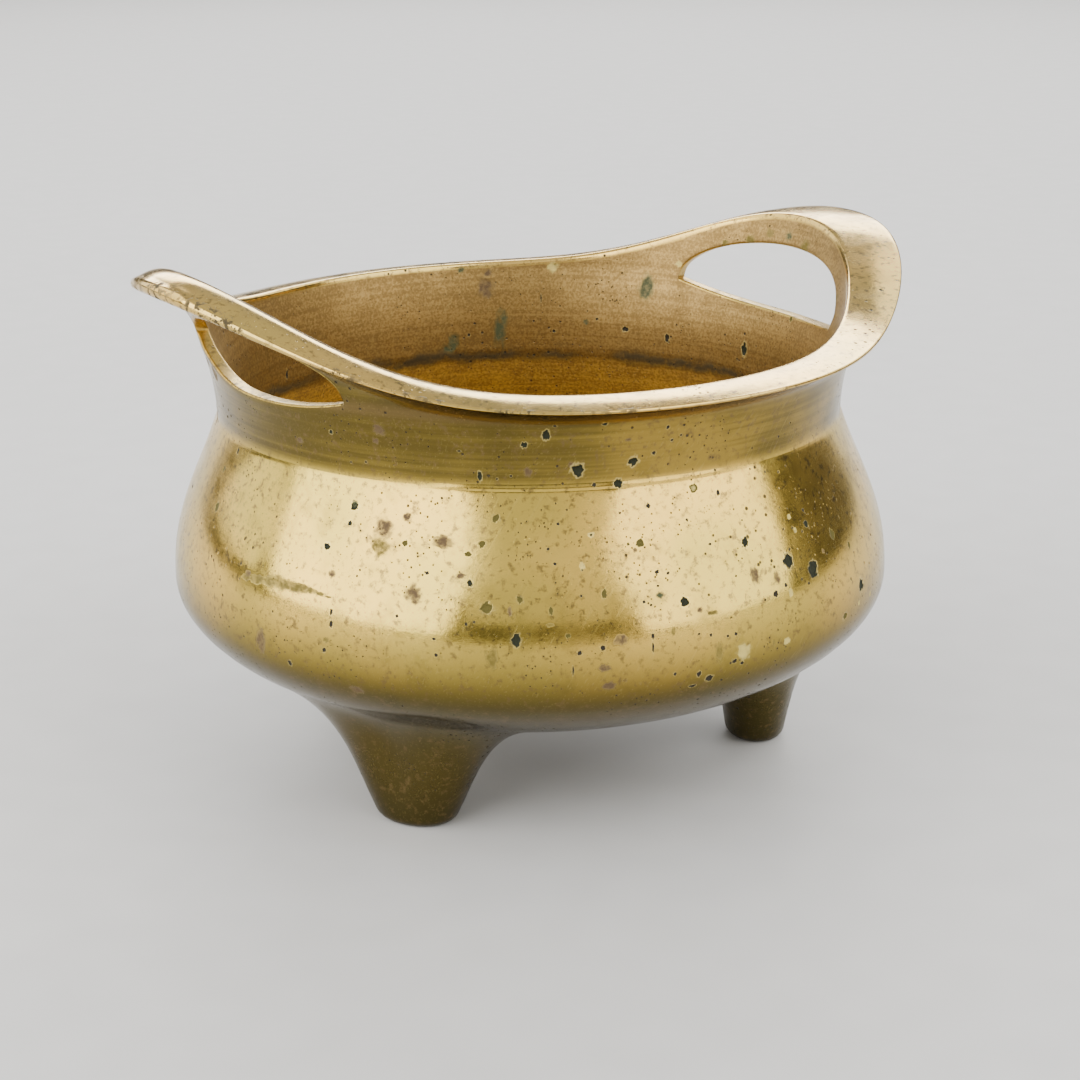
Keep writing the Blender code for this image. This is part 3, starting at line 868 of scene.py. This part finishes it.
def wave_inward(casting):
    """Lets the surface wander a little, inward only, as on a casting that was filed by hand."""
    casting.mesh.normal_update()
    moves = []
    for vertex in casting.mesh.verts:
        drift = noise.noise(vertex.co / CASTING_WAVE_LENGTH)
        drift += noise.noise(vertex.co / LONG_WAVE_LENGTH)
        steady = 1.0 - min(1.0, 1.5 * vertex[casting.zones["foot"]])
        moves.append(-vertex.normal * CASTING_WAVE * (1.0 + 0.5 * drift) * steady)
    for vertex, move in zip(casting.mesh.verts, moves):
        vertex.co += move


class Finish:
    """The nodes of one material, built up from small steps."""

    def __init__(self, name):
        self.material = bpy.data.materials.new(name)
        self.material.use_nodes = True
        self.tree = self.material.node_tree
        self.shader = self.tree.nodes["Principled BSDF"]

    def feed(self, socket, value):
        """Links an output to an input, or sets the input to a number, colour or vector."""
        if isinstance(value, bpy.types.NodeSocket):
            self.tree.links.new(value, socket)
        else:
            socket.default_value = value

    def node(self, kind, **settings):
        made = self.tree.nodes.new(kind)
        for name, value in settings.items():
            setattr(made, name, value)
        return made

    def attribute(self, name, output="Fac"):
        return self.node("ShaderNodeAttribute", attribute_name=name).outputs[output]

    def math(self, operation, *values, clamp=False):
        step = self.node("ShaderNodeMath", operation=operation, use_clamp=clamp)
        for socket, value in zip(step.inputs, values):
            self.feed(socket, value)
        return step.outputs[0]

    def product(self, value, *factors):
        """A value multiplied by each factor in turn."""
        for factor in factors:
            value = self.math("MULTIPLY", value, factor)
        return value

    def vector(self, operation, *values):
        step = self.node("ShaderNodeVectorMath", operation=operation)
        for socket, value in zip(step.inputs, values):
            self.feed(socket, value)
        return step.outputs["Value" if operation == "LENGTH" else "Vector"]

    def scaled(self, vector, amount):
        step = self.node("ShaderNodeVectorMath", operation="SCALE")
        self.feed(step.inputs[0], vector)
        self.feed(step.inputs["Scale"], amount)
        return step.outputs["Vector"]

    def noise(self, vector, scale, detail, roughness=0.55):
        step = self.node("ShaderNodeTexNoise")
        self.feed(step.inputs["Vector"], vector)
        step.inputs["Scale"].default_value = scale
        step.inputs["Detail"].default_value = detail
        step.inputs["Roughness"].default_value = roughness
        return step.outputs["Fac"]

    def fade(self, value, start, end, low=0.0, high=1.0):
        """A smooth step from low at start to high at end."""
        step = self.node("ShaderNodeMapRange", interpolation_type="SMOOTHSTEP")
        for name, number in (("Value", value), ("From Min", start), ("From Max", end),
                             ("To Min", low), ("To Max", high)):
            self.feed(step.inputs[name], number)
        return step.outputs["Result"]

    def near(self, value, middle, width):
        """1 where value is at middle, falling smoothly to 0 at width away from it."""
        away = self.math("ABSOLUTE", self.math("SUBTRACT", value, middle))
        return self.fade(away, width, 0.0)

    def blend(self, factor, first, second):
        """A mix of two colours, first where the factor is 0."""
        step = self.node("ShaderNodeMix", data_type="RGBA")
        self.feed(step.inputs["Factor"], factor)
        for name, colour in (("A", first), ("B", second)):
            socket = next(entry for entry in step.inputs if entry.name == name and entry.type == "RGBA")
            self.feed(socket, (*colour, 1.0) if isinstance(colour, tuple) else colour)
        return next(entry for entry in step.outputs if entry.type == "RGBA")

    def bump(self, height):
        """The surface's normal where it has this height in metres."""
        step = self.node("ShaderNodeBump")
        step.inputs["Distance"].default_value = 1.0
        self.feed(step.inputs["Height"], height)
        return step.outputs["Normal"]


def camera_turn():
    """The camera's rotation: it looks level and ahead, leans down, turns and rolls a little."""
    heading = Matrix.Rotation(math.radians(CAMERA_HEADING), 4, "Z")
    lean = Matrix.Rotation(math.radians(CAMERA_LEAN), 4, "X")
    roll = Matrix.Rotation(math.radians(CAMERA_ROLL), 4, "Z")
    return heading @ lean @ roll


def place_marks(casting):
    """Finds where each mark of the photograph lies on the casting."""
    tree = BVHTree.FromBMesh(casting.mesh)
    turn = camera_turn().to_3x3()
    middle = PHOTO_PIXELS / 2
    marks = []
    for kind, tone, depth in MARK_KINDS:
        for across, down, radius, tall in kind:
            ray = turn @ Vector((across - middle, middle - down, -FOCAL_PIXELS)).normalized()
            hit = tree.ray_cast(CAMERA_PLACE, ray)[0]
            marks.append((hit, (radius / 1000, tone, depth), tall))
    return marks + unseen_marks(tree)


def unseen_marks(tree):
    """Marks of the same kinds, scattered over the sides that the photograph doesn't show."""
    chance = random.Random(UNSEEN_SEED)
    shares = [len(kind) for kind, _, _ in MARK_KINDS]
    marks = []
    for _ in range(UNSEEN_MARKS):
        kind, tone, depth = chance.choices(MARK_KINDS, weights=shares)[0]
        radius, tall = chance.choice(kind)[2:]
        angle = chance.uniform(*UNSEEN_ANGLES)
        height = chance.uniform(*UNSEEN_HEIGHTS)
        outside = Vector(around(2 * BELLY_RADIUS, angle, height))
        hit = tree.ray_cast(outside, Vector((-outside.x, -outside.y, 0.0)).normalized())[0]
        marks.append((hit, (radius / 1000, tone, depth), tall))
    return marks


def mark_faces(mesh, marks):
    """Gives each face the places and forms of the marks that reach it first, for its finish to draw."""
    nearest = KDTree(len(marks))
    for index, (place, _, _) in enumerate(marks):
        nearest.insert(place, index)
    nearest.balance()

    def spans(found):
        """How many times its own half height away a mark is."""
        _, (radius, _, _), tall = marks[found[1]]
        return found[2] / (radius * max(tall, 1.0))

    chosen = []
    for face in mesh.polygons:
        close = sorted(nearest.find_n(face.center, MARK_CANDIDATES), key=spans)
        chosen.append([found[1] for found in close[:MARK_SLOTS]])
    for slot in range(MARK_SLOTS):
        for name, part in (("place", 0), ("form", 1)):
            layer = mesh.attributes.new(f"mark_{name}_{slot}", "FLOAT_VECTOR", "FACE")
            values = [number for row in chosen for number in marks[row[slot]][part]]
            layer.data.foreach_set("vector", values)
        layer = mesh.attributes.new(f"mark_tall_{slot}", "FLOAT", "FACE")
        layer.data.foreach_set("value", [marks[row[slot]][2] for row in chosen])


class Brass(Finish):
    """Polished brass that has aged: mottled yellow and olive, pitted, stained and duller inside. Its
    colour also holds painted shade under the lip, painted dark reflections on the neck and low on the
    belly, painted light in the lower bowl and some painted highlights.
    """

    def __init__(self):
        super().__init__("aged_brass")
        self.place = self.node("ShaderNodeTexCoord").outputs["Object"]
        axes = self.node("ShaderNodeSeparateXYZ")
        self.feed(axes.inputs[0], self.place)
        self.across, self.along, self.height = axes.outputs
        self.inside, self.lip, self.foot, self.rim = (self.attribute(zone) for zone in ZONES)
        self.drift = self.noise(self.place, DRIFT_SCALE, 2.0)
        self.cloud = self.noise(self.place, CLOUD_SCALE, 3.0, 0.62)
        self.freckle = self.noise(self.place, FRECKLE_SCALE, 3.0, 0.65)
        self.grain = self.noise(self.place, GRAIN_SCALE, 1.0, 0.6)
        level = self.vector("MULTIPLY", self.place, TURNED_SCALES)
        self.turned = self.noise(level, 1.0, 2.0, 0.6)
        self.scratched = self.scratches()
        self.pinned = self.math("MAXIMUM", *(self.specks(*kind) for kind in PINHOLES))

    def scratches(self):
        """Fine slanting scratches from polishing."""
        slant = self.node("ShaderNodeVectorRotate", rotation_type="EULER_XYZ")
        self.feed(slant.inputs["Vector"], self.place)
        slant.inputs["Rotation"].default_value = SCRATCH_SLANT
        drawn = self.vector("MULTIPLY", slant.outputs[0], SCRATCH_SCALES)
        return self.fade(self.noise(drawn, 1.0, 1.0), 0.61, 0.71)

    def specks(self, scale, largest):
        """Tiny dark pinholes, in some regions more and larger than in others."""
        cells = self.node("ShaderNodeTexVoronoi", feature="F1")
        self.feed(cells.inputs["Vector"], self.place)
        cells.inputs["Scale"].default_value = scale
        size = self.fade(self.noise(self.place, scale / 9, 1.0), 0.36, 0.68, 0.03, largest)
        return self.fade(cells.outputs["Distance"], size, self.product(size, 0.6))

    def metal_colour(self):
        """The polished metal outside, with painted dark reflections on the neck and low on the belly,
        painted shade in the cove under the lip, and darker on the feet.
        """
        colour = self.blend(self.fade(self.drift, 0.35, 0.65), BRASS_GOLD, BRASS_OLIVE)
        colour = self.blend(self.fade(self.cloud, 0.50, 0.75, 0.0, 0.25), colour, BRASS_TARNISH_AND_DARK_REFLECTION)
        colour = self.blend(self.product(self.lip, 0.35), colour, BRASS_PINK)
        # The neck is darkened in streaks: painted dark reflection, standing in for the dark
        # surroundings that the polished neck mirrors
        above = self.fade(self.height, SHOULDER_HEIGHT - 0.001, SHOULDER_HEIGHT + 0.002)
        apart = self.fade(self.math("MAXIMUM", self.lip, self.inside), 0.5, 0.0)
        neck = self.product(above, apart)
        streak = self.fade(self.math("MULTIPLY_ADD", self.turned, 0.5, self.drift), 0.55, 0.95)
        worn = self.math("MULTIPLY_ADD", streak, 0.28, 0.70)
        colour = self.blend(self.product(neck, worn), colour, BRASS_TARNISH_AND_DARK_REFLECTION)
        # A dark umber band in the cove under the lip: painted shade under the lip's overhang
        cove = self.product(self.near(self.height, COVE_HEIGHT, COVE_WIDTH),
                            self.fade(self.inside, 0.5, 0.0, 0.0, 0.8))
        colour = self.blend(cove, colour, BRASS_UMBER)
        # Darker towards the bottom of the belly: painted dark reflection of dark surroundings
        low = self.fade(self.height, DARK_REFLECTION_TOP, DARK_REFLECTION_FULL, 0.0, 0.92)
        colour = self.blend(low, colour, FOOT_OLIVE_AND_DARK_REFLECTION)
        colour = self.blend(self.product(self.foot, 0.9), colour, FOOT_OLIVE_AND_DARK_REFLECTION)
        return self.blend(self.fade(self.freckle, 0.51, 0.72, 0.0, 0.8), colour, BRASS_UMBER)

    def inside_colour(self):
        """The matt inside, brown above the dark ring and golden below it, the gold partly painted light
        in the shaded lower bowl.
        """
        soft = self.math("MULTIPLY_ADD", self.cloud, 0.3, self.product(self.grain, 0.7))
        mottle = self.math("MULTIPLY_ADD", self.turned, 0.4, soft)
        upper = self.blend(self.fade(mottle, 0.50, 0.85), INSIDE_TAN, INSIDE_BROWN)
        # The golden lower bowl is partly painted light: it brightens the shade deep inside the bowl
        lower = self.blend(self.fade(mottle, 0.50, 0.85), INSIDE_GOLD, INSIDE_TAN)
        below = self.fade(self.height, DARK_RING_HEIGHT, DARK_RING_HEIGHT - DARK_RING_WIDTH)
        return self.blend(below, upper, lower)

    def dark_ring_and_grit(self):
        """The ragged dark ring inside, where the neck meets the belly, and grit along the edges of the
        lip's left front.
        """
        rough = self.noise(self.place, 100.0, 3.0, 0.65)
        wander = self.math("MULTIPLY_ADD", rough, DARK_RING_WANDER, -DARK_RING_WANDER / 2)
        ring = self.near(self.math("ADD", self.height, wander), DARK_RING_HEIGHT, DARK_RING_WIDTH)
        ring = self.product(ring, self.inside, self.fade(self.drift, 0.30, 0.45),
                            self.fade(self.freckle, 0.30, 0.50, 0.6, 1.0))
        patchy = self.fade(self.noise(self.place, 95.0, 1.0), 0.38, 0.55)
        left_front = self.product(self.fade(self.across, 0.0, -0.03), self.fade(self.along, 0.03, 0.0))
        grit = self.product(self.fade(self.freckle, 0.50, 0.56), patchy, left_front, self.rim)
        return self.math("MAXIMUM", ring, grit)

    def mark_tone(self, tone):
        """The colour of a mark, from the tone of its kind."""
        tones = self.node("ShaderNodeValToRGB")
        ramp = tones.color_ramp
        ramp.elements[0].color = (*MARK_COLOURS[0], 1.0)
        ramp.elements[1].color = (*MARK_COLOURS[-1], 1.0)
        for (_, position, _), shade in tuple(zip(MARK_KINDS, MARK_COLOURS))[1:-1]:
            ramp.elements.new(position).color = (*shade, 1.0)
        self.feed(tones.inputs[0], tone)
        return tones.outputs["Color"]

    def marks(self, colour):
        """Draws the pits, stains and pale spots, some of them painted highlights. Returns the colour,
        how much they cover and how deep they go.
        """
        cover = 0.0
        relief = 0.0
        for slot in range(MARK_SLOTS):
            centre = self.attribute(f"mark_place_{slot}", "Vector")
            form = self.node("ShaderNodeSeparateXYZ")
            self.feed(form.inputs[0], self.attribute(f"mark_form_{slot}", "Vector"))
            size, tone, depth = form.outputs
            squat = self.node("ShaderNodeCombineXYZ")
            narrow = self.math("DIVIDE", 1.0, size)
            low = self.math("DIVIDE", narrow, self.attribute(f"mark_tall_{slot}"))
            for socket, value in zip(squat.inputs, (narrow, narrow, low)):
                self.feed(socket, value)
            offset = self.vector("SUBTRACT", self.place, centre)
            local = self.vector("MULTIPLY", offset, squat.outputs[0])
            ragged = self.noise(self.vector("ADD", local, self.scaled(centre, 900.0)), 1.3, 1.0)
            away = self.math("ADD", self.vector("LENGTH", local),
                             self.math("MULTIPLY_ADD", ragged, MARK_RAGGEDNESS, -MARK_RAGGEDNESS / 2))
            soft = self.fade(depth, 0.1, 0.5, 0.45, 0.12)
            core = self.fade(away, self.math("ADD", 0.95, soft), self.math("SUBTRACT", 0.95, soft))
            stained = self.fade(self.freckle, 0.35, 0.60, 0.65, 1.0)
            core = self.product(core, self.math("MAXIMUM", stained, self.fade(depth, 0.2, 0.5)))
            halo = self.fade(away, 1.40, 1.05, 0.0, 0.42)
            colour = self.blend(self.product(halo, depth), colour, HALO_GOLD)
            colour = self.blend(core, colour, self.mark_tone(tone))
            cover = self.math("MAXIMUM", cover, core)
            dug = self.product(self.fade(away, 1.05, 0.3), depth, size, PIT_STEEPNESS)
            relief = self.math("SUBTRACT", relief, dug)
        return colour, cover, relief

    def roughness(self, dull):
        """Smoothest on worn edges, rougher inside and on the feet, and matt where it is dull."""
        rough = self.fade(self.cloud, 0.3, 0.75, 0.10, 0.20)
        rough = self.math("MULTIPLY_ADD", self.freckle, 0.08, rough)
        rough = self.math("MULTIPLY_ADD", self.scratched, 0.05, rough)
        rough = self.math("MULTIPLY_ADD", self.inside, 0.30, rough)
        rough = self.math("MULTIPLY_ADD", self.foot, 0.20, rough)
        rough = self.math("MULTIPLY_ADD", self.rim, -0.05, rough)
        return self.math("MAXIMUM", rough, self.product(dull, 0.75), clamp=True)

    def relief(self, dug):
        """Height of the fine relief in metres: grain, turning lines, pinholes and pits."""
        lines = self.math("MULTIPLY_ADD", self.inside, INSIDE_LINES, OUTSIDE_LINES)
        height = self.math("MULTIPLY_ADD", self.turned, lines, dug)
        height = self.math("MULTIPLY_ADD", self.grain, GRAIN_HEIGHT, height)
        return self.math("MULTIPLY_ADD", self.pinned, -PINHOLE_DEPTH, height)

    def finished(self):
        """The material, with everything joined to its shader."""
        dark_ring_and_grit = self.dark_ring_and_grit()
        colour = self.blend(self.inside, self.metal_colour(), self.inside_colour())
        colour = self.blend(self.product(self.scratched, 0.07), colour, HALO_GOLD)
        colour = self.blend(self.product(dark_ring_and_grit, 0.85), colour, DARK_RING_AND_GRIT_BLACK)
        colour = self.blend(self.product(self.pinned, 0.9), colour, MARK_COLOURS[1])
        colour, cover, dug = self.marks(colour)
        dull = self.math("MAXIMUM", self.math("MAXIMUM", cover, self.pinned), dark_ring_and_grit)
        matt = self.math("MAXIMUM", dull, self.product(self.inside, 0.35))
        self.feed(self.shader.inputs["Base Color"], colour)
        self.feed(self.shader.inputs["Metallic"], self.fade(matt, 0.0, 1.0, 1.0, 0.45))
        self.feed(self.shader.inputs["Roughness"], self.roughness(dull))
        self.feed(self.shader.inputs["Normal"], self.bump(self.relief(dug)))
        return self.material


def floor_material():
    """Pale matt floor with a faint, even grain."""
    finish = Finish("studio_floor")
    place = finish.node("ShaderNodeTexCoord").outputs["Object"]
    grain = finish.noise(place, FLOOR_GRAIN, 0.0)
    finish.feed(finish.shader.inputs["Base Color"], finish.blend(grain, *FLOOR_SHADES))
    finish.shader.inputs["Roughness"].default_value = FLOOR_ROUGHNESS
    return finish.material


def build_floor():
    """A wide round floor that fills the view."""
    mesh = bpy.data.meshes.new("studio_floor")
    disc = bmesh.new()
    bmesh.ops.create_circle(disc, cap_ends=True, segments=FLOOR_SIDES, radius=FLOOR_REACH)
    disc.to_mesh(mesh)
    disc.free()
    mesh.materials.append(floor_material())
    floor = bpy.data.objects.new("studio_floor", mesh)
    bpy.context.scene.collection.objects.link(floor)


def add_softbox(name, heading, elevation, distance, width, height, power):
    """A soft rectangular light that faces the bowl, its heading measured from the camera's."""
    light = bpy.data.lights.new(name, "AREA")
    light.shape = "RECTANGLE"
    light.size = width
    light.size_y = height
    light.energy = power
    lamp = bpy.data.objects.new(name, light)
    toward_camera = math.degrees(math.atan2(CAMERA_PLACE.y, CAMERA_PLACE.x))
    flat = distance * math.cos(math.radians(elevation))
    rise = distance * math.sin(math.radians(elevation))
    place = Vector(around(flat, toward_camera + heading, rise))
    lamp.location = Vector((0.0, 0.0, BELLY_HEIGHT)) + place
    lamp.rotation_euler = place.to_track_quat("Z", "Y").to_euler()
    bpy.context.scene.collection.objects.link(lamp)


def light_studio():
    """Large soft lights all round the bowl, and a room that is dim low down and bright overhead."""
    for name, settings in SOFTBOXES.items():
        add_softbox(name, *settings)
    world = bpy.data.worlds.new("studio_room")
    world.use_nodes = True
    tree = world.node_tree
    axes = tree.nodes.new("ShaderNodeSeparateXYZ")
    tree.links.new(axes.inputs[0], tree.nodes.new("ShaderNodeTexCoord").outputs["Generated"])
    rise = tree.nodes.new("ShaderNodeMapRange")
    rise.interpolation_type = "SMOOTHSTEP"
    tree.links.new(rise.inputs["Value"], axes.outputs["Z"])
    for socket, number in (("From Min", ROOM_RISE), ("To Min", ROOM_LOW), ("To Max", ROOM_OVERHEAD)):
        rise.inputs[socket].default_value = number
    tree.nodes["Background"].inputs["Color"].default_value = (1.0, 1.0, 1.0, 1.0)
    tree.links.new(tree.nodes["Background"].inputs["Strength"], rise.outputs["Result"])
    bpy.context.scene.world = world


def add_camera():
    """The camera at the photograph's angle."""
    data = bpy.data.cameras.new("camera")
    data.sensor_width = SENSOR_WIDTH
    data.lens = FOCAL_PIXELS * SENSOR_WIDTH / PHOTO_PIXELS
    data.clip_start = CLIP_START
    camera = bpy.data.objects.new("camera", data)
    camera.matrix_world = Matrix.Translation(CAMERA_PLACE) @ camera_turn()
    bpy.context.scene.collection.objects.link(camera)
    bpy.context.scene.camera = camera


def build_burner():
    """The dressed burner, which stands for the frame's plain casting."""
    casting = build_casting()
    wave_inward(casting)
    marks = place_marks(casting)
    mesh = bpy.data.meshes.new("burner_casting")
    casting.mesh.to_mesh(mesh)
    casting.mesh.free()
    mark_faces(mesh, marks)
    mesh.shade_smooth()
    mesh.set_sharp_from_angle(angle=math.radians(SHARP_ANGLE))
    mesh.materials.append(Brass().finished())
    burner = bpy.data.objects.new("burner_casting", mesh)
    bpy.context.scene.collection.objects.link(burner)
    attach(burner, "root")
    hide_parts("censer")


add_camera()
build_burner()
build_floor()
light_studio()
